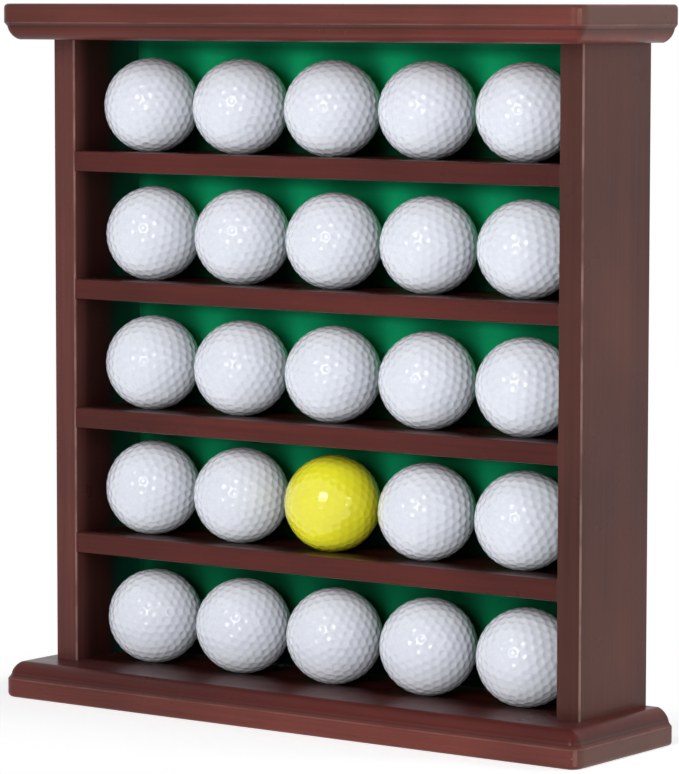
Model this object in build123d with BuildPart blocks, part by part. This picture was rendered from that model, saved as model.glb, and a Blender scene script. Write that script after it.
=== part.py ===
"""Golf ball display case: five open bays between moulded base and cap boards.

The carcass stands on its base board or hangs by two sawtooth hangers. Each bay floor has a
shallow cove that holds a row of balls. Millimetres, +Z up, +Y towards the wall; the origin is
the centre of the base board's footprint, on its underside.
"""

import os
from math import sqrt

from build123d import *

# ---- driving dimensions -------------------------------------------------------------------

# balls
ball_diameter = 42.67
balls_per_row = 5
row_shifts = (-1.9, -1.0, -1.5, -1.7, -0.6)  # how far each hand-set row sits off centre, top first

# room around the balls
ball_gap = 7.8
end_gap = 7.7
ball_headrooms = (7.7, 6.0, 7.5, 6.7, 8.2)  # bottom bay first
ball_front_inset = 0.5
ball_felt_gap = 2.3
groove_depth = 1.2
seat_clearance = 0.3

# carcass
panel_thickness = 12.0
shelf_thickness = 9.0
arris_radius = 1.0

# moulded boards, the same section for base and cap
board_thickness = 16.0
front_overhang = 22.5
side_overhang = 13.0
fascia_height = 8.4
nick_depth = 1.4
nick_height = 1.6
ovolo_run = 5.4
ovolo_radius = 8.0
fascia_edge_radius = 2.0
fascia_corner_radius = 6.0

# back
back_thickness = 5.0
felt_thickness = 1.0
rebate_width = 6.0
back_clearance = 0.2

# dowels
dowel_diameter = 5.0
dowel_length = 24.0
dowel_cover = 3.5
dowel_in_cap = 8.0
dowel_chamfer = 0.5
dowel_front_inset = 9.0
dowel_rear_inset = 8.5
dowel_end_gap = 0.5
hole_clearance = 0.05

# base screws
screw_diameter = 3.5
screw_length = 38.0
screw_head_diameter = 7.0
screw_head_height = 2.2
screw_head_sink = 0.6
screw_tip_length = 4.0
screw_recess_size = 1.0
screw_recess_reach = 3.6
screw_recess_depth = 1.4
screw_shank_clearance = 0.15

# back pins
pin_diameter = 1.2
pin_length = 16.0
pin_head_diameter = 2.6
pin_head_height = 0.6
pin_tip_length = 1.5
side_pins = 5
side_pin_end_inset = 24.0
shelf_pins = 3
shelf_pin_pitch = 85.0

# sawtooth hangers
hanger_length = 42.0
hanger_height = 9.0
hanger_thickness = 0.9
hanger_standoff = 1.6
hanger_tab_length = 7.0
hanger_joggle_run = 2.0
hanger_end_inset = 60.0
tooth_pitch = 2.5
tooth_depth = 1.4
tooth_margin = 2.0
nail_diameter = 1.5
nail_length = 12.0
nail_tip_length = 1.5
nail_head_diameter = 3.2
nail_head_height = 0.8

# ---- dependent sizes ----------------------------------------------------------------------

ball_radius = ball_diameter / 2
ball_pitch = ball_diameter + ball_gap
groove_radius = ball_radius + seat_clearance
seat_sink = groove_depth - seat_clearance
bay_heights = [ball_diameter - seat_sink + headroom for headroom in ball_headrooms]

inner_width = balls_per_row * ball_diameter + (balls_per_row - 1) * ball_gap + 2 * end_gap
outer_width = inner_width + 2 * panel_thickness
board_width = outer_width + 2 * side_overhang
shelf_depth = ball_front_inset + ball_diameter + ball_felt_gap
panel_depth = shelf_depth + felt_thickness + back_thickness
board_depth = panel_depth + front_overhang
rear_y = board_depth / 2
fascia_y = -board_depth / 2
front_y = fascia_y + front_overhang
felt_y = front_y + shelf_depth
groove_y = front_y + ball_front_inset + ball_radius

panel_height = sum(bay_heights) + (len(bay_heights) - 1) * shelf_thickness
case_height = panel_height + 2 * board_thickness
panel_top = board_thickness + panel_height
panel_x = (inner_width + panel_thickness) / 2

floors = [board_thickness]
for bay_height in bay_heights[:-1]:
    floors.append(floors[-1] + bay_height + shelf_thickness)

ovolo_rise = board_thickness - fascia_height - nick_height

dowel_radius = dowel_diameter / 2
dowel_hole_radius = dowel_radius + hole_clearance
dowel_in_side = panel_thickness - dowel_cover - dowel_end_gap
dowel_in_shelf = dowel_length - dowel_in_side
dowel_in_post = dowel_length - dowel_in_cap
dowel_rows = (front_y + dowel_front_inset, felt_y - dowel_rear_inset)
screw_radius = screw_diameter / 2
screw_head_radius = screw_head_diameter / 2
pin_radius = pin_diameter / 2
pin_head_radius = pin_head_diameter / 2
pin_hole_radius = pin_radius + hole_clearance
nail_radius = nail_diameter / 2
nail_head_radius = nail_head_diameter / 2
nail_hole_radius = nail_radius + hole_clearance

# the base screws and the cap dowels share one plan, on the middle line of each side panel
post_spots = [(side * panel_x, y) for side in (-1, 1) for y in dowel_rows]

shelf_pin_xs = [shelf_pin_pitch * (k - (shelf_pins - 1) / 2) for k in range(shelf_pins)]
side_pin_x = (inner_width + rebate_width) / 2
side_pin_run = panel_height - 2 * side_pin_end_inset
side_pin_levels = [
    board_thickness + side_pin_end_inset + side_pin_run * k / (side_pins - 1)
    for k in range(side_pins)
]

hanger_level = case_height - board_thickness / 2
hanger_offset = board_width / 2 - hanger_end_inset
tab_offset = (hanger_length - hanger_tab_length) / 2
nail_xs = [side * hanger_offset + tab * tab_offset for side in (-1, 1) for tab in (-1, 1)]

os.makedirs("parts", exist_ok=True)


def save(piece, name):
    """Label a finished piece and write it as one STEP file."""
    piece.part.label = name
    export_step(piece.part, f"parts/{name}.step")


# ---- moulded base and cap -----------------------------------------------------------------


def moulded_edge(fascia, inward, outer, rise):
    """Draw one board edge, from its outer face to its inner face: fascia, nick, ovolo."""
    foot = (fascia, outer)
    shoulder = (fascia, outer + rise * fascia_height)
    quirk = (fascia + inward * nick_depth, outer + rise * (fascia_height + nick_height))
    crown = (quirk[0] + inward * ovolo_run, quirk[1] + rise * ovolo_rise)
    chord = sqrt(ovolo_run**2 + ovolo_rise**2)
    bulge = ovolo_radius - sqrt(ovolo_radius**2 - (chord / 2) ** 2)
    belly = (
        (quirk[0] + crown[0]) / 2 - inward * bulge * ovolo_rise / chord,
        (quirk[1] + crown[1]) / 2 + rise * bulge * ovolo_run / chord,
    )
    Polyline(foot, shoulder, quirk)
    ThreePointArc(quirk, belly, crown)
    return foot, crown


def corner_waste(side, outer, rise):
    """Waste outside one front corner, which the mouldings turn on fascia_corner_radius."""
    inner = outer + rise * board_thickness
    middle = (outer + inner) / 2
    centre_x = side * (board_width / 2 - fascia_corner_radius)
    centre_y = fascia_y + fascia_corner_radius
    with BuildPart() as turned_corner:
        with BuildSketch(Plane.XZ):
            with BuildLine():
                foot, crown = moulded_edge(fascia_corner_radius, -1, outer, rise)
                Polyline(crown, (-board_thickness, inner), (-board_thickness, outer), foot)
            make_face()
            with Locations((fascia_corner_radius / 2, middle)):
                Rectangle(fascia_corner_radius, board_thickness, mode=Mode.INTERSECT)
        revolve(axis=Axis.Z)
    rounding = turned_corner.part.moved(Location((centre_x, centre_y, 0)))
    with BuildPart() as waste:
        with BuildSketch(Plane.XY.offset(min(outer, inner))):
            with Locations(
                (centre_x + side * fascia_corner_radius / 2, centre_y - fascia_corner_radius / 2)
            ):
                Rectangle(fascia_corner_radius, fascia_corner_radius)
        extrude(amount=board_thickness)
        add(rounding, mode=Mode.SUBTRACT)
    return waste.part


def moulded_board(outer, rise):
    """Board moulded on its front and both ends; outer is the level of its wide face."""
    inner = outer + rise * board_thickness
    corners = [corner_waste(side, outer, rise) for side in (-1, 1)]
    with BuildPart() as board:
        with BuildSketch(Plane.YZ):
            with BuildLine():
                foot, crown = moulded_edge(fascia_y, 1, outer, rise)
                Polyline(crown, (rear_y, inner), (rear_y, outer), foot)
            make_face()
        extrude(amount=board_width / 2, both=True)
        with BuildSketch(Plane.XZ):
            with BuildLine():
                left_foot, left_crown = moulded_edge(-board_width / 2, 1, outer, rise)
                right_foot, right_crown = moulded_edge(board_width / 2, -1, outer, rise)
                Line(left_foot, right_foot)
                Line(left_crown, right_crown)
            make_face()
        extrude(amount=board_depth, both=True, mode=Mode.INTERSECT)
        for corner in corners:
            add(corner, mode=Mode.SUBTRACT)
        rim = board.faces().sort_by(Axis.Z)[0 if rise > 0 else -1].edges()
        fillet(rim.group_by(Axis.Y)[:-1], radius=fascia_edge_radius)
    return board.part


def groove_section(floor):
    """Section of the ball cove in one bay floor."""
    with BuildSketch(Plane.YZ) as section:
        with Locations((groove_y, floor + groove_radius - groove_depth)):
            Circle(groove_radius)
    return section.sketch


with BuildPart() as base_board:
    add(moulded_board(0, 1))
    cove = groove_section(board_thickness)
    extrude(cove, amount=inner_width / 2, both=True, mode=Mode.SUBTRACT)
    shank_hole = screw_radius + screw_shank_clearance
    with BuildSketch(Plane.XY):
        with Locations(*post_spots):
            Circle(shank_hole)
    extrude(amount=board_thickness, mode=Mode.SUBTRACT)
    head_hole = screw_head_radius + screw_shank_clearance
    with BuildSketch(Plane.XY):
        with Locations(*post_spots):
            Circle(head_hole)
    extrude(amount=screw_head_sink, mode=Mode.SUBTRACT)
    with Locations(Plane.XY.offset(screw_head_sink)):
        with Locations(*post_spots):
            Cone(
                head_hole,
                shank_hole,
                screw_head_height,
                align=(Align.CENTER, Align.CENTER, Align.MIN),
                mode=Mode.SUBTRACT,
            )
save(base_board, "base_board")

with BuildPart() as cap_board:
    add(moulded_board(case_height, -1))
    with BuildSketch(Plane.XY.offset(panel_top)):
        with Locations(*post_spots):
            Circle(dowel_hole_radius)
    extrude(amount=dowel_in_cap + dowel_end_gap, mode=Mode.SUBTRACT)
    with BuildSketch(Plane.XZ.offset(-rear_y)):
        with Locations(*[(x, hanger_level) for x in nail_xs]):
            Circle(nail_hole_radius)
    extrude(amount=nail_length, mode=Mode.SUBTRACT)
save(cap_board, "cap_board")

# ---- side panels --------------------------------------------------------------------------


def arris_waste(x, inward):
    """Waste outside one eased front arris at x; inward points into the panel along X."""
    with BuildSketch(Plane.XY) as waste:
        with Locations((x + inward * arris_radius / 2, front_y + arris_radius / 2)):
            Rectangle(arris_radius, arris_radius)
        with Locations((x + inward * arris_radius, front_y + arris_radius)):
            Circle(arris_radius, mode=Mode.SUBTRACT)
    return waste.sketch


def side_panel(side):
    """Upright panel; side is -1 for left and +1 for right."""
    inner_x = side * inner_width / 2
    outer_x = side * outer_width / 2
    with BuildPart() as panel:
        with BuildSketch(Plane.XY.offset(board_thickness)):
            with Locations((side * panel_x, (front_y + rear_y) / 2)):
                Rectangle(panel_thickness, panel_depth)
            with Locations((inner_x + side * rebate_width / 2, rear_y - back_thickness / 2)):
                Rectangle(rebate_width, back_thickness, mode=Mode.SUBTRACT)
        extrude(amount=panel_height)
        # the outer arris is eased for the full height, the inner one only within each bay
        outer_waste = arris_waste(outer_x, -side).moved(Location((0, 0, board_thickness)))
        extrude(outer_waste, amount=panel_height, mode=Mode.SUBTRACT)
        for floor, height in zip(floors, bay_heights):
            inner_waste = arris_waste(inner_x, side).moved(Location((0, 0, floor)))
            extrude(inner_waste, amount=height, mode=Mode.SUBTRACT)
        # dowel holes for the shelf ends
        with BuildSketch(Plane.YZ.offset(inner_x)):
            for floor in floors[1:]:
                with Locations(*[(y, floor - shelf_thickness / 2) for y in dowel_rows]):
                    Circle(dowel_hole_radius)
        extrude(amount=side * (dowel_in_side + dowel_end_gap), mode=Mode.SUBTRACT)
        # dowel holes for the cap and pilot holes for the base screws
        with BuildSketch(Plane.XY.offset(panel_top)):
            with Locations(*[(side * panel_x, y) for y in dowel_rows]):
                Circle(dowel_hole_radius)
        extrude(amount=-(dowel_in_post + dowel_end_gap), mode=Mode.SUBTRACT)
        with BuildSketch(Plane.XY.offset(board_thickness)):
            with Locations(*[(side * panel_x, y) for y in dowel_rows]):
                Circle(screw_radius + hole_clearance)
        pilot_depth = screw_head_sink + screw_length - board_thickness + dowel_end_gap
        extrude(amount=pilot_depth, mode=Mode.SUBTRACT)
        # pilot holes for the back pins, from the rebate's ledge
        with BuildSketch(Plane.XZ.offset(back_thickness - rear_y)):
            with Locations(*[(side * side_pin_x, z) for z in side_pin_levels]):
                Circle(pin_hole_radius)
        extrude(amount=pin_length - back_thickness + dowel_end_gap, mode=Mode.SUBTRACT)
    return panel


save(side_panel(-1), "side_left")
save(side_panel(1), "side_right")

# ---- shelves ------------------------------------------------------------------------------


def shelf(floor):
    """Shelf whose upper face is one bay's floor."""
    underside = floor - shelf_thickness
    middle = floor - shelf_thickness / 2
    with BuildPart() as board:
        with BuildSketch(Plane.XY.offset(underside)):
            with Locations((0, front_y + shelf_depth / 2)):
                Rectangle(inner_width, shelf_depth)
        extrude(amount=shelf_thickness)
        fillet(board.edges().filter_by(Axis.X).group_by(Axis.Y)[0], radius=arris_radius)
        extrude(groove_section(floor), amount=inner_width / 2, both=True, mode=Mode.SUBTRACT)
        for side in (-1, 1):
            with BuildSketch(Plane.YZ.offset(side * inner_width / 2)):
                with Locations(*[(y, middle) for y in dowel_rows]):
                    Circle(dowel_hole_radius)
            extrude(amount=-side * (dowel_in_shelf + dowel_end_gap), mode=Mode.SUBTRACT)
        with BuildSketch(Plane.XZ.offset(-felt_y)):
            with Locations(*[(x, middle) for x in shelf_pin_xs]):
                Circle(pin_hole_radius)
        pin_bite = pin_length - back_thickness - felt_thickness + dowel_end_gap
        extrude(amount=pin_bite, mode=Mode.SUBTRACT)
    return board


for number, floor in enumerate(reversed(floors[1:]), start=1):
    save(shelf(floor), f"shelf_{number}")

# ---- back panel and felt ------------------------------------------------------------------

shelf_pin_spots = [(x, floor - shelf_thickness / 2) for floor in floors[1:] for x in shelf_pin_xs]
side_pin_spots = [(side * side_pin_x, z) for side in (-1, 1) for z in side_pin_levels]
pin_spots = shelf_pin_spots + side_pin_spots
middle_level = board_thickness + panel_height / 2

with BuildPart() as back_panel:
    with BuildSketch(Plane.XZ.offset(-rear_y)):
        with Locations((0, middle_level)):
            Rectangle(
                inner_width + 2 * (rebate_width - back_clearance),
                panel_height - 2 * back_clearance,
            )
        with Locations(*pin_spots):
            Circle(pin_hole_radius, mode=Mode.SUBTRACT)
    extrude(amount=back_thickness)
    with BuildSketch(Plane.XZ.offset(-rear_y)):
        with Locations(*pin_spots):
            Circle(pin_head_radius + hole_clearance)
    extrude(amount=pin_head_height, mode=Mode.SUBTRACT)
save(back_panel, "back_panel")

with BuildPart() as felt_lining:
    with BuildSketch(Plane.XZ.offset(back_thickness - rear_y)):
        with Locations((0, middle_level)):
            Rectangle(inner_width - 2 * back_clearance, panel_height - 2 * back_clearance)
        with Locations(*shelf_pin_spots):
            Circle(pin_hole_radius, mode=Mode.SUBTRACT)
    extrude(amount=felt_thickness)
save(felt_lining, "felt_lining")

# ---- dowels, screws and pins --------------------------------------------------------------


def turned(profile):
    """Solid of revolution about Z from a list of (radius, height) points."""
    with BuildPart() as body:
        with BuildSketch(Plane.XZ):
            with BuildLine():
                Polyline(*profile, close=True)
            make_face()
        revolve(axis=Axis.Z)
    return body.part


dowel_waist = dowel_radius - dowel_chamfer
dowel = turned(
    [
        (0, 0),
        (dowel_waist, 0),
        (dowel_radius, dowel_chamfer),
        (dowel_radius, dowel_length - dowel_chamfer),
        (dowel_waist, dowel_length),
        (0, dowel_length),
    ]
)

with BuildPart() as shelf_dowels:
    for side in (-1, 1):
        tip_x = side * (inner_width / 2 + dowel_in_side)
        for floor in floors[1:]:
            for y in dowel_rows:
                start = Plane((tip_x, y, floor - shelf_thickness / 2), z_dir=(-side, 0, 0))
                add(start * dowel)
save(shelf_dowels, "shelf_dowels")

with BuildPart() as cap_dowels:
    for x, y in post_spots:
        add(Plane((x, y, panel_top + dowel_in_cap), z_dir=(0, 0, -1)) * dowel)
save(cap_dowels, "cap_dowels")

with BuildPart() as screw_blank:
    add(
        turned(
            [
                (0, 0),
                (screw_head_radius, 0),
                (screw_radius, screw_head_height),
                (screw_radius, screw_length - screw_tip_length),
                (0, screw_length),
            ]
        )
    )
    for recess in (
        (screw_recess_reach, screw_recess_size),
        (screw_recess_size, screw_recess_reach),
    ):
        with BuildSketch(Plane.XY):
            Rectangle(*recess)
        extrude(amount=screw_recess_depth, mode=Mode.SUBTRACT)
with BuildPart() as base_screws:
    for x, y in post_spots:
        add(Pos(x, y, screw_head_sink) * screw_blank.part)
save(base_screws, "base_screws")

pin = turned(
    [
        (0, 0),
        (pin_head_radius, 0),
        (pin_head_radius, pin_head_height),
        (pin_radius, pin_head_height),
        (pin_radius, pin_length - pin_tip_length),
        (0, pin_length),
    ]
)
with BuildPart() as back_pins:
    for x, z in pin_spots:
        add(Plane((x, rear_y, z), z_dir=(0, -1, 0)) * pin)
save(back_pins, "back_pins")

# ---- sawtooth hangers ---------------------------------------------------------------------

hanger_foot = hanger_level - hanger_height / 2
tab_end = hanger_length / 2 - hanger_tab_length
bridge_end = tab_end - hanger_joggle_run
tooth_count = int(2 * (bridge_end - tooth_margin) / tooth_pitch)
hanger_bends = [
    (-hanger_length / 2, 0),
    (-tab_end, 0),
    (-bridge_end, hanger_standoff),
    (bridge_end, hanger_standoff),
    (tab_end, 0),
    (hanger_length / 2, 0),
]


def sawtooth_hanger(centre_x):
    """Bridge-shaped strip with teeth along the lower edge of its raised middle."""
    wood_side = [(centre_x + x, rear_y + y) for x, y in hanger_bends]
    wall_side = [(x, y + hanger_thickness) for x, y in reversed(wood_side)]
    with BuildPart() as hanger:
        with BuildSketch(Plane.XY.offset(hanger_foot)):
            with BuildLine():
                Polyline(*wood_side, *wall_side, close=True)
            make_face()
        extrude(amount=hanger_height)
        with BuildSketch(Plane.XZ.offset(-rear_y)):
            for k in range(tooth_count):
                notch_x = centre_x + tooth_pitch * (k - tooth_count / 2)
                with BuildLine():
                    Polyline(
                        (notch_x, hanger_foot),
                        (notch_x + tooth_pitch, hanger_foot),
                        (notch_x + tooth_pitch / 2, hanger_foot + tooth_depth),
                        close=True,
                    )
                make_face()
            for tab in (-1, 1):
                with Locations((centre_x + tab * tab_offset, hanger_level)):
                    Circle(nail_hole_radius)
        reach = hanger_standoff + hanger_thickness
        extrude(amount=-reach, mode=Mode.SUBTRACT)
    return hanger


save(sawtooth_hanger(-hanger_offset), "hanger_left")
save(sawtooth_hanger(hanger_offset), "hanger_right")

nail_face_radius = nail_head_radius - nail_head_height / 2
nail = turned(
    [
        (0, 0),
        (nail_face_radius, 0),
        (nail_head_radius, nail_head_height / 2),
        (nail_head_radius, nail_head_height),
        (nail_radius, nail_head_height),
        (nail_radius, nail_length - nail_tip_length),
        (0, nail_length),
    ]
)
nail_y = rear_y + hanger_thickness + nail_head_height
with BuildPart() as hanger_nails:
    for x in nail_xs:
        add(Plane((x, nail_y, hanger_level), z_dir=(0, -1, 0)) * nail)
save(hanger_nails, "hanger_nails")

# ---- balls --------------------------------------------------------------------------------

for row, (floor, shift) in enumerate(zip(reversed(floors), row_shifts), start=1):
    for column in range(balls_per_row):
        ball_x = shift + ball_pitch * (column - (balls_per_row - 1) / 2)
        with BuildPart(Plane.XY.offset(floor + ball_radius - seat_sink)) as ball:
            with Locations((ball_x, groove_y)):
                Sphere(ball_radius)
        save(ball, f"ball_row{row}_col{column + 1}")
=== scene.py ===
import random
from math import atan2, cos, pi, radians, sin

import bmesh
import bpy
import numpy as np
from mathutils import Euler, Matrix, Vector, noise


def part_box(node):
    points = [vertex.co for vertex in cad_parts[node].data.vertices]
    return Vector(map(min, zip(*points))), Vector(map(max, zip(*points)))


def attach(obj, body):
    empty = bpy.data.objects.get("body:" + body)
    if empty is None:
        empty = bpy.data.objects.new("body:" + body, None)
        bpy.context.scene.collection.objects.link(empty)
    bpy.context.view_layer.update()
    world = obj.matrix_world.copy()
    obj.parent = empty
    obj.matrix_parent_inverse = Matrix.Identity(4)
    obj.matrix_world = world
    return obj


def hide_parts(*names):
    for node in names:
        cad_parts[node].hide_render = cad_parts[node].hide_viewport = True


# Golf ball display case, in metres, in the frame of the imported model: origin under the middle
# of the base board, +Z up, the open bays facing -Y.

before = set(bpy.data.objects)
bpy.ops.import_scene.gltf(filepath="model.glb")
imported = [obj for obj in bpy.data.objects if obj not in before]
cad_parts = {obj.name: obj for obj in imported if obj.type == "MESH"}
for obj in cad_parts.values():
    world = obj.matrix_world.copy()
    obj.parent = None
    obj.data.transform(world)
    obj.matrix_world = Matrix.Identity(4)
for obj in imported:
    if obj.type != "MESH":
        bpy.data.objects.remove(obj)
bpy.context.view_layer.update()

MM = 0.001

# camera: focal length and sensor width in mm, place in metres, angles in degrees
LENS = 192.71
SENSOR_WIDTH = 36.0
CAMERA_PLACE = (1.06934, -1.44351, 0.31402)
CAMERA_YAW = 36.345
CAMERA_PITCH = 5.317
CAMERA_ROLL = 0.063

# lamps: azimuth from the case's front towards +X and elevation, in degrees; width and height
# in metres, power in watts, and whether glossy surfaces mirror it. The floor casts no shadow,
# so right_box lights the case through it, from below.
LAMPS = {
    "key": (12, 16, 0.50, 0.60, 8.6, True),
    "right_lamp": (77, 12, 0.32, 0.40, 1.9, True),
    "right_box": (18, -13, 0.6, 0.9, 8.6, False),
    "high_box": (10, 31, 0.6, 0.6, 9.2, False),
    "rim_box": (130, 12, 0.9, 1.4, 21.5, False),
}
LAMP_DISTANCE = 1.8
LAMP_TARGET = Vector((0, 0, 0.16))

# brightness of the white room: as it lights the case, and as the camera and gloss see it
FILL = 0.05
WHITE = 1.0

# floor: half its side, how far past the base its shadow is kept, the glow that lifts it to
# white for the camera and for gloss, and the glow that lights the case from below
FLOOR_HALF = 6.0
SHADOW_REACH = 0.10
FLOOR_GLOW = 0.62
FLOOR_BOUNCE = 0.10

# balls: parts of an icosahedron's edge between dimples, a dimple's radius as a share of the
# distance to the next one, the rim and the rings of a dimple as shares of its radius, and
# how deep it is
DIMPLE_FREQUENCY = 6
DIMPLE_SHARE = 0.45
DIMPLE_RIM = 1.03
DIMPLE_RINGS = (0.94, 0.72, 0.38)
DIMPLE_DEPTH = 0.34 * MM
YELLOW_DIMPLE_DEPTH = 0.17 * MM
YELLOW_BALL = "ball_row4_col3"
TURN_SEED = 18

# covers of the balls: pale and deep tone, how much brighter the painted light on a ball's
# top and bottom is than the pale tone, and the brightest that it may be
WHITE_COVER = ((0.785, 0.815, 0.885), (0.75, 0.78, 0.855))
YELLOW_COVER = ((0.88, 0.845, 0.036), (0.835, 0.79, 0.031))
LIMB_LIGHT_GAIN = 1.13
LIMB_LIGHT_LIMIT = 0.98

# case: the front of the uprights and shelves, half the width between the uprights and
# outside of them, the whole height, and the boards above and below the bays
upright_low, upright_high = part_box("side_right")
FRONT_Y = upright_low.y
BAY_HALF_WIDTH = upright_low.x
CASE_HALF_WIDTH = upright_high.x
CASE_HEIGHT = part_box("cap_board")[1].z
BOARDS = ("base_board", "shelf_4", "shelf_3", "shelf_2", "shelf_1", "cap_board")

# moulding of the base and the cap, measured from the board's wide face: the top of the
# fascia, and the quirk from which the ovolo rises
SHOULDER_LEVEL = 8.4 * MM
QUIRK_LEVEL = 10.0 * MM

# felt: side of a mesh cell, how uneven the face is, and the size of its matted and tufted
# patches
FELT_PITCH = 1.4 * MM
FELT_NAP = 0.16 * MM
FELT_MATTING = 9 * MM
FELT_TUFT = 2.3 * MM

# felt's colour, with painted light and shade: how brightly lit it is painted in each bay,
# from the bottom; the distance from a bay's floor or ceiling, and how much colour the painted
# shadow leaves there; and the same for the painted shade along each upright
FELT_LIGHT_BY_BAY = (0.34, 0.56, 0.79, 0.88, 1.0)
SHADOW_FROM_FLOOR = ((0.0, 0.06), (9 * MM, 0.10), (20 * MM, 1.0))
SHADOW_FROM_CEILING = ((8 * MM, 1.0), (3.5 * MM, 0.40))
SHADE_STRIP = 7 * MM
SHADE_STRIP_COLOUR = 0.45

# wood: axis of the grain in a board and in an upright, the stain's colours, how far behind
# the front the painted green reflection of the felt is spread, and where the painted shade
# towards a board's ends begins
LENGTHWISE, UPRIGHT = 0, 2
STAIN_DEEP = (0.084, 0.0155, 0.0125)
STAIN_MIDDLE = (0.118, 0.0205, 0.0165)
STAIN_PALE = (0.158, 0.0265, 0.0205)
PORE_COLOUR = (0.045, 0.008, 0.007)
END_GRAIN_COLOUR = (0.116, 0.061, 0.049)
# painted shade in the quirk
QUIRK_SHADE_COLOUR = (0.010, 0.003, 0.003)
# painted sheen mixed with a little dirt, on the front strip of the bay floors
DUST_AND_SHEEN_COLOUR = (0.15, 0.12, 0.13)
# colour of the painted highlights
HIGHLIGHT_COLOUR = (0.33, 0.20, 0.17)
SPECK_COLOUR = (0.36, 0.22, 0.18)
FELT_REFLECTION_DEPTH = 50 * MM
END_SHADE_START = 45 * MM

# how much of the painted highlight's colour shows on an arris, a shoulder and a corner
ARRIS_HIGHLIGHT = 0.72
SHOULDER_HIGHLIGHT = 0.3
CORNER_HIGHLIGHT = 0.5


# ---- materials ----------------------------------------------------------------------------


class Graph:
    """One Principled material, built node by node; each call returns an output socket."""

    def __init__(self, name):
        self.material = bpy.data.materials.new(name)
        self.material.use_nodes = True
        self.tree = self.material.node_tree
        self.tree.nodes.clear()
        self.shader = self.add("ShaderNodeBsdfPrincipled")
        self.surface = self.add("ShaderNodeOutputMaterial").inputs["Surface"]
        self.tree.links.new(self.shader.outputs["BSDF"], self.surface)
        fixed = self.add("ShaderNodeTexCoord")
        self.place = fixed.outputs["Object"]
        self.facing = fixed.outputs["Normal"]

    def add(self, kind, **settings):
        node = self.tree.nodes.new(kind)
        for key, value in settings.items():
            setattr(node, key, value)
        return node

    def feed(self, node, name, value):
        """Link a socket to a node's input, or set the input; name may be its number."""
        socket = node.inputs[name]
        if isinstance(value, bpy.types.NodeSocket):
            self.tree.links.new(value, socket)
        else:
            socket.default_value = value

    def constant(self, **values):
        """Set shader inputs that are the same all over."""
        for name, value in values.items():
            self.shader.inputs[name.replace("_", " ")].default_value = value

    def drive(self, name, socket):
        self.tree.links.new(socket, self.shader.inputs[name])

    def split(self, vector):
        """X, Y and Z of a vector."""
        node = self.add("ShaderNodeSeparateXYZ")
        self.feed(node, "Vector", vector)
        return node.outputs

    def stretched(self, scale):
        """Object coordinates, in metres, times a scale for each axis."""
        node = self.add("ShaderNodeMapping")
        self.feed(node, "Vector", self.place)
        self.feed(node, "Scale", scale)
        return node.outputs["Vector"]

    def noise(self, scale, detail=2.0, rough=0.5, warp=0.0):
        node = self.add("ShaderNodeTexNoise")
        self.feed(node, "Vector", self.stretched(scale))
        self.feed(node, "Scale", 1.0)
        self.feed(node, "Detail", detail)
        self.feed(node, "Roughness", rough)
        self.feed(node, "Distortion", warp)
        return node.outputs["Fac"]

    def cells(self, scale):
        """Voronoi cells: the distance to the nearest point, and a random value for each cell."""
        node = self.add("ShaderNodeTexVoronoi")
        self.feed(node, "Vector", self.stretched(scale))
        self.feed(node, "Scale", 1.0)
        return node.outputs["Distance"], node.outputs["Color"]

    def fit(self, value, low, high, to_low=0.0, to_high=1.0):
        """Map low..high to to_low..to_high, clamped and smooth."""
        node = self.add("ShaderNodeMapRange", interpolation_type="SMOOTHSTEP")
        self.feed(node, "Value", value)
        for name, number in (
            ("From Min", low),
            ("From Max", high),
            ("To Min", to_low),
            ("To Max", to_high),
        ):
            self.feed(node, name, number)
        return node.outputs["Result"]

    def math(self, operation, first, second=0.0):
        node = self.add("ShaderNodeMath", operation=operation)
        self.feed(node, 0, first)
        self.feed(node, 1, second)
        return node.outputs["Value"]

    def off(self, value, level):
        """How far a value is from a level, either way."""
        return self.math("ABSOLUTE", self.math("SUBTRACT", value, level))

    def ramp(self, value, stops):
        """Colour ramp; stops is a list of (position, linear colour)."""
        node = self.add("ShaderNodeValToRGB")
        self.feed(node, "Fac", value)
        band = node.color_ramp
        while len(band.elements) < len(stops):
            band.elements.new(0.5)
        for element, (position, colour) in zip(band.elements, stops):
            element.position = position
            element.color = (*colour, 1.0)
        return node.outputs["Color"]

    def blend(self, factor, first, second, kind="MIX"):
        """Mix two colours; sockets 6 and 7, and output 2, are the node's colour ones."""
        node = self.add("ShaderNodeMix", data_type="RGBA", blend_type=kind)
        self.feed(node, 0, factor)
        for socket, colour in ((6, first), (7, second)):
            if isinstance(colour, tuple):
                colour = (*colour, 1.0)
            self.feed(node, socket, colour)
        return node.outputs[2]

    def tinted(self, colour, tint):
        return self.blend(1.0, colour, tint, "MULTIPLY")

    def bump(self, height, distance):
        """Normal bumped by a height of 0 to 1, times a distance in metres."""
        node = self.add("ShaderNodeBump")
        self.feed(node, "Height", height)
        self.feed(node, "Distance", distance)
        self.feed(node, "Strength", 1.0)
        return node.outputs["Normal"]


def along(axis, lengthwise, crosswise):
    """Noise scale for a grain that runs along one axis: low lengthwise, high crosswise."""
    scale = [crosswise] * 3
    scale[axis] = lengthwise
    return scale


def stained(g, grain_axis, pores, tint):
    """Red stain in broad figure, fine streaks and clouds, darker in the pores."""
    figure = g.noise(along(grain_axis, 3.0, 34.0), detail=3.0, warp=0.6)
    streaks = g.noise(along(grain_axis, 9.0, 520.0), detail=5.0, rough=0.62)
    cloud = g.noise((14.0, 14.0, 14.0), detail=2.0)
    tone = g.math("ADD", g.math("MULTIPLY", figure, 0.35), g.math("MULTIPLY", streaks, 0.3))
    tone = g.math("ADD", tone, g.math("MULTIPLY", cloud, 0.35))
    stain = g.ramp(tone, [(0.37, STAIN_DEEP), (0.50, STAIN_MIDDLE), (0.63, STAIN_PALE)])
    stain = g.tinted(stain, tint)
    return g.blend(g.math("MULTIPLY", pores, 0.25), stain, PORE_COLOUR)


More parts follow.
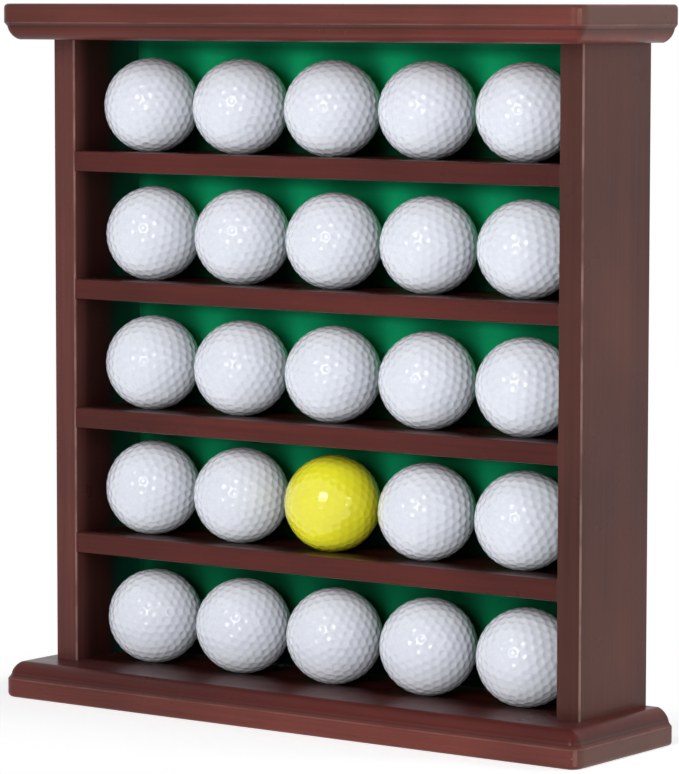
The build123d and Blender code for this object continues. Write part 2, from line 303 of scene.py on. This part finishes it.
def shade_floor(g, stain, facing, aside, behind, inner_shade):
    """Bay floor: painted sheen with some dirt, greying a strip along the front, and painted shade
    further in.
    """
    # painted sheen, mixed with a little dirt, greys the strip along the front
    dust_and_sheen = g.fit(facing[2], 0.9, 0.99)
    dust_and_sheen = g.math("MULTIPLY", dust_and_sheen, g.fit(behind, 1 * MM, 7 * MM, 0.3, 0.0))
    stain = g.blend(dust_and_sheen, stain, DUST_AND_SHEEN_COLOUR)
    # painted shade on the bay floors further in
    level = g.math("MULTIPLY", g.fit(facing[2], 0.3, 0.8), g.fit(behind, 2 * MM, 9 * MM))
    within = g.fit(aside, BAY_HALF_WIDTH - 1 * MM, BAY_HALF_WIDTH + 1 * MM, 1.0, 0.0)
    deep = g.math("MULTIPLY", level, within)
    return g.blend(deep, stain, g.tinted(stain, (inner_shade,) * 3))


def shade_wall(g, stain, aside, behind, inner_shade):
    """Upright: painted shade in the bays, and a painted green reflection of the felt at the rear.
    """
    # painted shade, darker deeper inside the bays
    wall = g.fit(aside, BAY_HALF_WIDTH + 0.2 * MM, BAY_HALF_WIDTH + 1.5 * MM, 1.0, 0.0)
    wall = g.math("MULTIPLY", wall, g.fit(behind, 1 * MM, 12 * MM))
    stain = g.blend(wall, stain, g.tinted(stain, (inner_shade,) * 3))
    # painted green reflection of the felt, in shade, on the rear of the wall
    felt_reflection = g.ramp(
        g.math("DIVIDE", behind, FELT_REFLECTION_DEPTH),
        [
            (0.52, (0.013, 0.026, 0.020)),
            (0.62, (0.003, 0.052, 0.030)),
            (0.80, (0.008, 0.095, 0.058)),
            (0.90, (0.010, 0.180, 0.100)),
        ],
    )
    near_felt = g.math("MULTIPLY", wall, g.fit(behind, 20 * MM, 28 * MM))
    return g.blend(near_felt, stain, felt_reflection)


def paint_arris_highlight(g, x, behind, arris):
    """Painted highlight along an upright's front arris."""
    across = g.math("SUBTRACT", x, arris)
    off = g.math("MULTIPLY", across, across)
    off = g.math("SQRT", g.math("ADD", off, g.math("MULTIPLY", behind, behind)))
    return g.math("MULTIPLY", g.fit(off, 0.45 * MM, 0.95 * MM, 1.0, 0.0), ARRIS_HIGHLIGHT)


def paint_moulding_highlights(g, risen, facing):
    """Painted highlights on a moulding: its shoulder, and the middle of its rounded upright
    corners.
    """
    shoulder = g.fit(g.off(risen, SHOULDER_LEVEL), 0.12 * MM, 0.45 * MM, 1.0, 0.0)
    turned = g.math("ABSOLUTE", g.math("MULTIPLY", facing[0], facing[1]))
    corner = g.math("MULTIPLY", g.fit(turned, 0.46, 0.495), CORNER_HIGHLIGHT)
    return g.math("MAXIMUM", g.math("MULTIPLY", shoulder, SHOULDER_HIGHLIGHT), corner)


def shade_moulding(g, stain, risen, ovolo_tint):
    """Painted shade in the quirk and at the foot of the ovolo, and the ovolo's tint."""
    quirk = g.off(risen, QUIRK_LEVEL)
    quirk_shade = g.math(
        "MAXIMUM",
        g.fit(quirk, 0.2 * MM, 1.0 * MM, 0.55, 0.0),
        g.fit(quirk, 0.5 * MM, 3.5 * MM, 0.25, 0.0),
    )
    stain = g.blend(quirk_shade, stain, QUIRK_SHADE_COLOUR)
    ovolo = g.fit(risen, QUIRK_LEVEL, QUIRK_LEVEL + 1.5 * MM)
    return g.blend(ovolo, stain, g.tinted(stain, ovolo_tint))


def mahogany(
    name,
    grain_axis,
    tint,
    inner_shade=1.0,
    arris=None,
    moulding=None,
    light_gradient=(1.0, 1.0),
    end_shade=1.0,
):
    """Dark red stain under satin lacquer, with short pores, dirt specks and paler end grain.

    tint: multiplies the stain; the pieces are one wood, so the tints hold painted light and
    shade as well as its tone. inner_shade: painted shade, how much of the colour is left deep
    inside the bays. arris: where, in X, a painted highlight runs down an upright's front arris.
    moulding: level of a moulded board's wide face, and its ovolo's tint. fade: a painted light
    gradient, the colour's strength at the left and the right end. end_shade: painted shade,
    the colour's strength next to the uprights.
    """
    g = Graph(name)
    spot = g.split(g.place)
    facing = g.split(g.facing)
    aside = g.math("ABSOLUTE", spot[0])
    behind = g.math("SUBTRACT", spot[1], FRONT_Y)

    pores = g.fit(g.noise(along(grain_axis, 190.0, 2600.0), detail=1.0), 0.64, 0.74)
    stain = stained(g, grain_axis, pores, tint)
    # painted light gradient from end to end, and painted shade next to the uprights
    strength = g.fit(spot[0], -CASE_HALF_WIDTH, CASE_HALF_WIDTH, *light_gradient)
    ends = g.fit(aside, END_SHADE_START, BAY_HALF_WIDTH, 1.0, end_shade)
    stain = g.tinted(stain, g.math("MULTIPLY", strength, ends))
    if grain_axis == UPRIGHT:
        stain = shade_wall(g, stain, aside, behind, inner_shade)
    elif inner_shade < 1.0:
        stain = shade_floor(g, stain, facing, aside, behind, inner_shade)
    end_grain = g.fit(g.math("ABSOLUTE", facing[grain_axis]), 0.70, 0.95)
    stain = g.blend(g.math("MULTIPLY", end_grain, 0.8), stain, END_GRAIN_COLOUR)

    # painted highlights along an upright's arris and a moulding's shoulder and corners
    painted_highlight = None
    if arris is not None:
        painted_highlight = paint_arris_highlight(g, spot[0], behind, arris)
    if moulding is not None:
        face_level, ovolo_tint = moulding
        risen = g.off(spot[2], face_level)
        painted_highlight = paint_moulding_highlights(g, risen, facing)
        stain = shade_moulding(g, stain, risen, ovolo_tint)
    if painted_highlight is not None:
        patchy = g.fit(g.noise((60.0, 60.0, 60.0), detail=3.0), 0.35, 0.6, 0.35, 1.0)
        stain = g.blend(g.math("MULTIPLY", painted_highlight, patchy), stain, HIGHLIGHT_COLOUR)
    near, pick = g.cells((85.0, 85.0, 85.0))
    speck = g.math("MULTIPLY", g.fit(near, 0.018, 0.034, 1.0, 0.0), g.fit(pick, 0.74, 0.80))
    stain = g.blend(g.math("MULTIPLY", speck, 0.45), stain, SPECK_COLOUR)
    g.drive("Base Color", stain)

    smear = g.noise((45.0, 45.0, 45.0), detail=3.0)
    g.drive("Roughness", g.fit(smear, 0.3, 0.7, 0.27, 0.38))
    peel = g.noise((420.0, 420.0, 420.0), detail=1.5)
    relief = g.math("SUBTRACT", g.math("MULTIPLY", peel, 0.35), g.math("MULTIPLY", pores, 0.5))
    relief = g.math("ADD", relief, g.math("MULTIPLY", speck, 0.4))
    g.drive("Normal", g.bump(relief, 0.03 * MM))
    g.constant(Coat_Weight=0.05, Coat_Roughness=0.14, IOR=1.48, Specular_IOR_Level=0.14)
    return g.material


def green_felt():
    """Short-napped wool felt: matted fibres, slight mottling and a soft sheen."""
    g = Graph("green_felt")
    fibres = g.noise((1500.0, 1500.0, 1500.0), detail=4.0, rough=0.7, warp=1.5)
    mottle = g.noise((75.0, 75.0, 75.0), detail=3.0)
    tone = g.math("ADD", g.math("MULTIPLY", fibres, 0.55), g.math("MULTIPLY", mottle, 0.45))
    dye = g.ramp(
        tone,
        [
            (0.34, (0.009, 0.600, 0.236)),
            (0.50, (0.011, 0.660, 0.262)),
            (0.68, (0.015, 0.720, 0.290)),
        ],
    )
    # painted light and shade: lighter in the higher bays, with a painted shadow along each floor
    # and a little under each ceiling
    x, _, z = g.split(g.place)
    boxes = [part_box(name) for name in BOARDS]
    stops = []
    for below, above, bay_light in zip(boxes, boxes[1:], FELT_LIGHT_BY_BAY):
        floor_level, ceiling_level = below[1].z, above[0].z
        levels = [(floor_level + up, share) for up, share in SHADOW_FROM_FLOOR]
        levels += [(ceiling_level - down, share) for down, share in SHADOW_FROM_CEILING]
        stops += [(level / CASE_HEIGHT, (share * bay_light,) * 3) for level, share in levels]
    felt_shade = g.ramp(g.math("DIVIDE", z, CASE_HEIGHT), stops)
    # painted shade along each upright
    inward = g.math("SUBTRACT", BAY_HALF_WIDTH, g.math("ABSOLUTE", x))
    felt_shade = g.tinted(felt_shade, g.fit(inward, 0.0, SHADE_STRIP, SHADE_STRIP_COLOUR, 1.0))
    g.drive("Base Color", g.tinted(dye, felt_shade))
    g.drive("Normal", g.bump(fibres, 0.28 * MM))
    g.drive("Roughness", g.fit(mottle, 0.3, 0.7, 0.88, 0.98))
    g.constant(Sheen_Weight=0.12, Sheen_Roughness=0.5, Sheen_Tint=(0.25, 0.75, 0.45, 1.0))
    g.constant(Specular_IOR_Level=0.04)
    return g.material


def hardboard():
    """Pressed brown fibreboard: flecked, matt, with a faint calender ripple."""
    g = Graph("hardboard")
    flecks = g.noise((900.0, 300.0, 900.0), detail=4.0, rough=0.7)
    cloud = g.noise((22.0, 22.0, 22.0), detail=2.0)
    tone = g.math("ADD", g.math("MULTIPLY", flecks, 0.6), g.math("MULTIPLY", cloud, 0.4))
    board = g.ramp(
        tone,
        [
            (0.32, (0.075, 0.042, 0.024)),
            (0.50, (0.155, 0.094, 0.056)),
            (0.70, (0.225, 0.145, 0.092)),
        ],
    )
    g.drive("Base Color", board)
    g.drive("Roughness", g.fit(cloud, 0.3, 0.7, 0.62, 0.78))
    g.drive("Normal", g.bump(flecks, 0.06 * MM))
    g.constant(Specular_IOR_Level=0.35)
    return g.material


def beech():
    """Raw dowel wood with short flecks along the grain."""
    g = Graph("beech")
    streaks = g.noise((60.0, 900.0, 900.0), detail=3.0)
    flecks = g.fit(g.noise((350.0, 2600.0, 2600.0), detail=1.0), 0.60, 0.70)
    wood = g.ramp(
        streaks,
        [
            (0.35, (0.46, 0.30, 0.17)),
            (0.65, (0.62, 0.45, 0.28)),
        ],
    )
    wood = g.blend(g.math("MULTIPLY", flecks, 0.5), wood, (0.28, 0.16, 0.08))
    g.drive("Base Color", wood)
    g.drive("Roughness", g.fit(streaks, 0.3, 0.7, 0.6, 0.75))
    g.drive("Normal", g.bump(streaks, 0.04 * MM))
    return g.material


def zinc_steel():
    """Zinc-plated steel: drawn lines, cloudy passivation and small dull spots."""
    g = Graph("zinc_steel")
    drawn = g.noise((60.0, 2200.0, 2200.0), detail=3.0)
    cloud = g.noise((260.0, 260.0, 260.0), detail=3.0, warp=0.8)
    plating = g.ramp(
        cloud,
        [
            (0.30, (0.42, 0.41, 0.40)),
            (0.55, (0.58, 0.58, 0.57)),
            (0.75, (0.66, 0.64, 0.58)),
        ],
    )
    g.drive("Base Color", plating)
    tone = g.math("ADD", g.math("MULTIPLY", drawn, 0.5), g.math("MULTIPLY", cloud, 0.5))
    g.drive("Roughness", g.fit(tone, 0.3, 0.7, 0.26, 0.46))
    g.drive("Normal", g.bump(drawn, 0.01 * MM))
    g.constant(Metallic=1.0)
    return g.material


def ball_cover(name, pale, deep):
    """Clear-coated ball cover: nearly even colour, very slightly cloudy, with painted light on
    its top and bottom.
    """
    g = Graph(name)
    cloud = g.noise((55.0, 55.0, 55.0), detail=3.0)
    cover = g.ramp(cloud, [(0.35, deep), (0.65, pale)])
    # painted light: lighter on top and bottom than round its sides
    limb_light_colour = tuple(min(LIMB_LIGHT_GAIN * channel, LIMB_LIGHT_LIMIT) for channel in pale)
    limb_light = g.fit(g.math("ABSOLUTE", g.split(g.facing)[2]), 0.30, 0.85)
    g.drive("Base Color", g.blend(limb_light, cover, limb_light_colour))
    scuffs = g.noise((900.0, 160.0, 900.0), detail=3.0, rough=0.7, warp=0.6)
    g.drive("Roughness", g.fit(scuffs, 0.35, 0.75, 0.20, 0.34))
    g.drive("Normal", g.bump(cloud, 0.02 * MM))
    g.constant(Coat_Weight=1.0, Coat_Roughness=0.05)
    g.constant(IOR=1.5, Specular_IOR_Level=0.25, Diffuse_Roughness=0.6)
    return g.material


# ---- dimpled balls ------------------------------------------------------------------------


def geodesic_points(frequency):
    """Unit vectors on an icosahedron whose edges are cut into frequency parts."""
    solid = bmesh.new()
    bmesh.ops.create_icosphere(solid, subdivisions=1, radius=1.0)
    found = {}
    for face in solid.faces:
        a, b, c = (vert.co for vert in face.verts)
        for i in range(frequency + 1):
            for j in range(frequency + 1 - i):
                point = (a * i + b * j + c * (frequency - i - j)).normalized()
                found[tuple(round(value, 5) for value in point)] = point
    solid.free()
    return np.array([list(found[key]) for key in sorted(found)])


def spread_out(points, rounds=60, step=0.02):
    """Even the spacing of points on a unit sphere by letting them push each other apart."""
    for _ in range(rounds):
        apart = points[:, None, :] - points[None, :, :]
        squared = (apart**2).sum(axis=2) + np.eye(len(points))
        push = (apart / squared[:, :, None] ** 2).sum(axis=1)
        push -= (push * points).sum(axis=1, keepdims=True) * points
        points = points + step * push / np.abs(push).max()
        points /= np.linalg.norm(points, axis=1, keepdims=True)
    return points


def hull_triangles(points):
    """Triangles of the convex hull, as index triples that run anticlockwise from outside."""
    solid = bmesh.new()
    for number, point in enumerate(points):
        solid.verts.new(point).index = number
    bmesh.ops.convex_hull(solid, input=solid.verts)
    triangles = []
    for face in solid.faces:
        a, b, c = (vert.index for vert in face.verts)
        outward = np.cross(points[b] - points[a], points[c] - points[a]) @ points[a]
        triangles.append((a, b, c) if outward > 0 else (a, c, b))
    solid.free()
    return triangles


def dimple_rings(depth):
    """(share of the dimple's radius, depth) of the rings from the land to the floor."""
    return [(DIMPLE_RIM, 0.0)] + [(share, depth * (1 - share**2)) for share in DIMPLE_RINGS]


def dimpled_ball(name, radius, depth):
    """Golf ball cover: each dimple is a round dish in its own cell of the sphere."""
    centres = spread_out(geodesic_points(DIMPLE_FREQUENCY))
    triangles = hull_triangles(centres)
    corners = []
    around = {number: [] for number in range(len(centres))}
    for index, (a, b, c) in enumerate(triangles):
        corner = np.cross(centres[b] - centres[a], centres[c] - centres[a])
        corners.append(corner / np.linalg.norm(corner))
        for number in (a, b, c):
            around[number].append(index)

    verts = [corner * radius for corner in corners]
    faces = []
    midway = {}

    def side_point(first, second):
        """Vertex in the middle of the side between two cell corners."""
        key = (min(first, second), max(first, second))
        if key not in midway:
            middle = corners[first] + corners[second]
            midway[key] = len(verts)
            verts.append(middle / np.linalg.norm(middle) * radius)
        return midway[key]

    gaps = centres @ centres.T - 2 * np.eye(len(centres))
    nearest = np.arccos(gaps.max(axis=1))
    for number, centre in enumerate(centres):
        across = np.cross(centre, (0.0, 0.0, 1.0) if abs(centre[2]) < 0.9 else (1.0, 0.0, 0.0))
        across /= np.linalg.norm(across)
        up = np.cross(centre, across)
        turn = {i: atan2(corners[i] @ up, corners[i] @ across) for i in around[number]}
        ordered = sorted(around[number], key=turn.get)
        loop = []
        for first, second in zip(ordered, ordered[1:] + ordered[:1]):
            loop += [first, side_point(first, second)]
        angles = [atan2(verts[i] @ up, verts[i] @ across) for i in loop]
        for share, sunk in dimple_rings(depth):
            spread = nearest[number] * DIMPLE_SHARE * share
            ring = []
            for angle in angles:
                sideways = cos(angle) * across + sin(angle) * up
                ring.append(len(verts))
                verts.append((cos(spread) * centre + sin(spread) * sideways) * (radius - sunk))
            for k in range(len(loop)):
                after = (k + 1) % len(loop)
                faces.append((loop[k], loop[after], ring[after], ring[k]))
            loop = ring
        floor = len(verts)
        verts.append(centre * (radius - depth))
        faces += [(loop[k], loop[(k + 1) % len(loop)], floor) for k in range(len(loop))]

    mesh = bpy.data.meshes.new(name)
    mesh.from_pydata([tuple(vert) for vert in verts], [], faces)
    mesh.polygons.foreach_set("use_smooth", [True] * len(mesh.polygons))
    mesh.update()
    return mesh


def place_balls():
    """Put a dimpled ball, turned at random, where each CAD ball is."""
    nodes = sorted(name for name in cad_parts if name.startswith("ball_"))
    low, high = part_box(nodes[0])
    radius = (high.x - low.x) / 2
    white = ball_cover("ball_white", *WHITE_COVER)
    yellow = ball_cover("ball_yellow", *YELLOW_COVER)
    deep = dimpled_ball("dimpled_cover", radius, DIMPLE_DEPTH)
    shallow = dimpled_ball("shallow_dimpled_cover", radius, YELLOW_DIMPLE_DEPTH)
    turns = random.Random(TURN_SEED)
    for name in nodes:
        low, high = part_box(name)
        is_yellow = name == YELLOW_BALL
        mesh = (shallow if is_yellow else deep).copy()
        turn = Euler([turns.uniform(0, 2 * pi) for _ in range(3)])
        mesh.transform(turn.to_matrix().to_4x4())
        mesh.materials.append(yellow if is_yellow else white)
        ball = bpy.data.objects.new(f"golf_{name}", mesh)
        bpy.context.scene.collection.objects.link(ball)
        ball.location = [(a + b) / 2 for a, b in zip(low, high)]
        bpy.context.view_layer.update()
        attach(ball, name)
        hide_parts(name)


# ---- felt ---------------------------------------------------------------------------------


def felt_sheet():
    """Felt with a matted face, a skirt round its cut edge and a flat glued back."""
    low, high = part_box("felt_lining")
    columns = round((high.x - low.x) / FELT_PITCH)
    rows = round((high.z - low.z) / FELT_PITCH)
    verts = []
    for row in range(rows + 1):
        for column in range(columns + 1):
            x = low.x + (high.x - low.x) * column / columns
            z = low.z + (high.z - low.z) * row / rows
            matted = noise.noise((x / FELT_MATTING, 0.0, z / FELT_MATTING))
            tufted = noise.noise((x / FELT_TUFT, 5.0, z / FELT_TUFT))
            share = min(max(0.5 + 0.4 * matted + 0.5 * tufted, 0.0), 1.0)
            verts.append((x, low.y + FELT_NAP * share, z))

    def at(row, column):
        """Number of the vertex at a row and column of the face."""
        return row * (columns + 1) + column

    faces = []
    for row in range(rows):
        for column in range(columns):
            lower = (at(row, column), at(row, column + 1))
            faces.append((*lower, at(row + 1, column + 1), at(row + 1, column)))
    rim = [at(0, column) for column in range(columns)]
    rim += [at(row, columns) for row in range(rows)]
    rim += [at(rows, column) for column in range(columns, 0, -1)]
    rim += [at(row, 0) for row in range(rows, 0, -1)]
    back = range(len(verts), len(verts) + len(rim))
    verts += [(verts[number][0], high.y, verts[number][2]) for number in rim]
    for k in range(len(rim)):
        after = (k + 1) % len(rim)
        faces.append((rim[after], rim[k], back[k], back[after]))
    faces.append(tuple(reversed(back)))

    mesh = bpy.data.meshes.new("felt_sheet")
    mesh.from_pydata(verts, [], faces)
    napped = rows * columns
    mesh.polygons.foreach_set("use_smooth", [k < napped for k in range(len(faces))])
    mesh.update()
    felt = bpy.data.objects.new("felt_sheet", mesh)
    bpy.context.scene.collection.objects.link(felt)
    mesh.materials.append(green_felt())
    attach(felt, "case")
    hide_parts("felt_lining")


# ---- carried-over CAD nodes ---------------------------------------------------------------


def dress(node_names, material):
    """Give CAD nodes a material; their meshes stay as they are."""
    for name in node_names:
        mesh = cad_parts[name].data
        mesh.materials.clear()
        mesh.materials.append(material)


def dress_case():
    """Wood, hardboard, beech and steel for the CAD nodes that carry on into the scene."""
    # one wood in every piece: the tints hold painted light and shade as well as the wood's tone,
    # and the inner shades are painted shade; the base's ovolo tint is partly painted shade on its
    # upward face, the cap's fade is a painted light gradient, and the shelves' end_shade is
    # painted shade next to the uprights
    base_wood = mahogany(
        "mahogany_base",
        LENGTHWISE,
        tint=(1.26, 1.88, 1.9),
        inner_shade=0.3,
        moulding=(0.0, (0.60, 0.43, 0.43)),
    )
    cap_wood = mahogany(
        "mahogany_cap",
        LENGTHWISE,
        tint=(1.04, 1.64, 1.62),
        moulding=(CASE_HEIGHT, (1.0, 0.8, 0.78)),
        light_gradient=(0.84, 1.24),
    )
    shelf_wood = mahogany(
        "mahogany_shelf",
        LENGTHWISE,
        tint=(0.75, 0.90, 0.90),
        inner_shade=0.3,
        end_shade=0.78,
    )
    left_wood = mahogany(
        "mahogany_left",
        UPRIGHT,
        tint=(0.90, 1.68, 1.8),
        inner_shade=0.35,
        arris=-BAY_HALF_WIDTH,
    )
    right_wood = mahogany(
        "mahogany_right",
        UPRIGHT,
        tint=(0.68, 1.34, 1.30),
        inner_shade=0.3,
        arris=CASE_HALF_WIDTH,
    )
    dress(["base_board"], base_wood)
    dress(["cap_board"], cap_wood)
    dress([f"shelf_{number}" for number in range(1, 5)], shelf_wood)
    dress(["side_left"], left_wood)
    dress(["side_right"], right_wood)
    dress(["back_panel"], hardboard())
    dress(["shelf_dowels", "cap_dowels"], beech())
    steel = ["base_screws", "back_pins", "hanger_left", "hanger_right", "hanger_nails"]
    dress(steel, zinc_steel())


# ---- studio -------------------------------------------------------------------------------


def lamp(name, azimuth, elevation, width, height, power, mirrored):
    """Soft box aimed at the middle of the case."""
    light = bpy.data.lights.new(name, "AREA")
    light.shape = "RECTANGLE"
    light.size = width
    light.size_y = height
    light.energy = power
    box = bpy.data.objects.new(name, light)
    bpy.context.scene.collection.objects.link(box)
    turn, rise = radians(azimuth), radians(elevation)
    towards = Vector((sin(turn) * cos(rise), -cos(turn) * cos(rise), sin(rise)))
    box.location = LAMP_TARGET + towards * LAMP_DISTANCE
    box.rotation_euler = towards.to_track_quat("Z", "Y").to_euler()
    box.visible_camera = False
    box.visible_glossy = mirrored


def seen_or_mirrored(tree):
    """1 for rays that come from the camera, through glass or off gloss, and 0 for all others."""
    path = tree.nodes.new("ShaderNodeLightPath")
    result = path.outputs["Is Camera Ray"]
    for kind in ("Is Transmission Ray", "Is Glossy Ray"):
        either = tree.nodes.new("ShaderNodeMath")
        either.operation = "MAXIMUM"
        tree.links.new(result, either.inputs[0])
        tree.links.new(path.outputs[kind], either.inputs[1])
        result = either.outputs["Value"]
    return result


def floor():
    """Pale floor that keeps the shadow close to the base and is white beyond it."""
    _, base_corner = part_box("base_board")
    mesh = bpy.data.meshes.new("floor")
    half = FLOOR_HALF
    mesh.from_pydata(
        [(-half, -half, 0), (half, -half, 0), (half, half, 0), (-half, half, 0)],
        [],
        [(0, 1, 2, 3)],
    )
    plane = bpy.data.objects.new("floor", mesh)
    bpy.context.scene.collection.objects.link(plane)
    plane.visible_shadow = False
    g = Graph("floor")
    g.constant(Base_Color=(0.86, 0.86, 0.87, 1.0), Roughness=0.9, Specular_IOR_Level=0.1)
    seen = seen_or_mirrored(g.tree)
    glow = g.math("MULTIPLY", seen, FLOOR_GLOW - FLOOR_BOUNCE)
    g.constant(Emission_Color=(1.0, 1.0, 1.0, 1.0))
    g.drive("Emission Strength", g.math("ADD", glow, FLOOR_BOUNCE))
    # distance from the base's footprint
    away = g.add("ShaderNodeVectorMath", operation="ABSOLUTE")
    g.feed(away, "Vector", g.place)
    past = g.add("ShaderNodeVectorMath", operation="SUBTRACT")
    g.feed(past, 0, away.outputs["Vector"])
    g.feed(past, 1, (base_corner.x, base_corner.y, 0.0))
    clipped = g.add("ShaderNodeVectorMath", operation="MAXIMUM")
    g.feed(clipped, 0, past.outputs["Vector"])
    distance = g.add("ShaderNodeVectorMath", operation="LENGTH")
    g.feed(distance, 0, clipped.outputs["Vector"])
    far = g.fit(distance.outputs["Value"], 0.0, SHADOW_REACH)
    white = g.add("ShaderNodeEmission")
    mixed = g.add("ShaderNodeMixShader")
    g.feed(mixed, "Fac", g.math("MULTIPLY", far, seen))
    g.tree.links.new(g.shader.outputs["BSDF"], mixed.inputs[1])
    g.tree.links.new(white.outputs["Emission"], mixed.inputs[2])
    g.tree.links.new(mixed.outputs["Shader"], g.surface)
    mesh.materials.append(g.material)


def sky():
    """White room for the camera and for gloss, and a faint even fill for everything else."""
    world = bpy.data.worlds.new("studio")
    bpy.context.scene.world = world
    world.use_nodes = True
    tree = world.node_tree
    back = tree.nodes["Background"]
    back.inputs["Color"].default_value = (1.0, 1.0, 1.0, 1.0)
    strength = tree.nodes.new("ShaderNodeMapRange")
    tree.links.new(seen_or_mirrored(tree), strength.inputs["Value"])
    strength.inputs["To Min"].default_value = FILL
    strength.inputs["To Max"].default_value = WHITE
    tree.links.new(strength.outputs["Result"], back.inputs["Strength"])


def camera():
    """Camera of the photograph: turned to the left, tipped down a little, hardly rolled."""
    yaw, pitch, roll = (radians(value) for value in (CAMERA_YAW, CAMERA_PITCH, CAMERA_ROLL))
    ahead = Vector((-sin(yaw) * cos(pitch), cos(yaw) * cos(pitch), -sin(pitch)))
    right = Vector((cos(yaw), sin(yaw), 0.0))
    down = ahead.cross(right)
    right, down = right * cos(roll) - down * sin(roll), right * sin(roll) + down * cos(roll)
    lens = bpy.data.cameras.new("camera")
    lens.lens = LENS
    lens.sensor_width = SENSOR_WIDTH
    eye = bpy.data.objects.new("camera", lens)
    bpy.context.scene.collection.objects.link(eye)
    turned = Matrix((right, -down, -ahead)).transposed().to_4x4()
    eye.matrix_world = Matrix.Translation(CAMERA_PLACE) @ turned
    bpy.context.scene.camera = eye


camera()
sky()
floor()
for lamp_name, settings in LAMPS.items():
    lamp(lamp_name, *settings)
dress_case()
felt_sheet()
place_balls()
bpy.context.scene.view_settings.view_transform = "Standard"
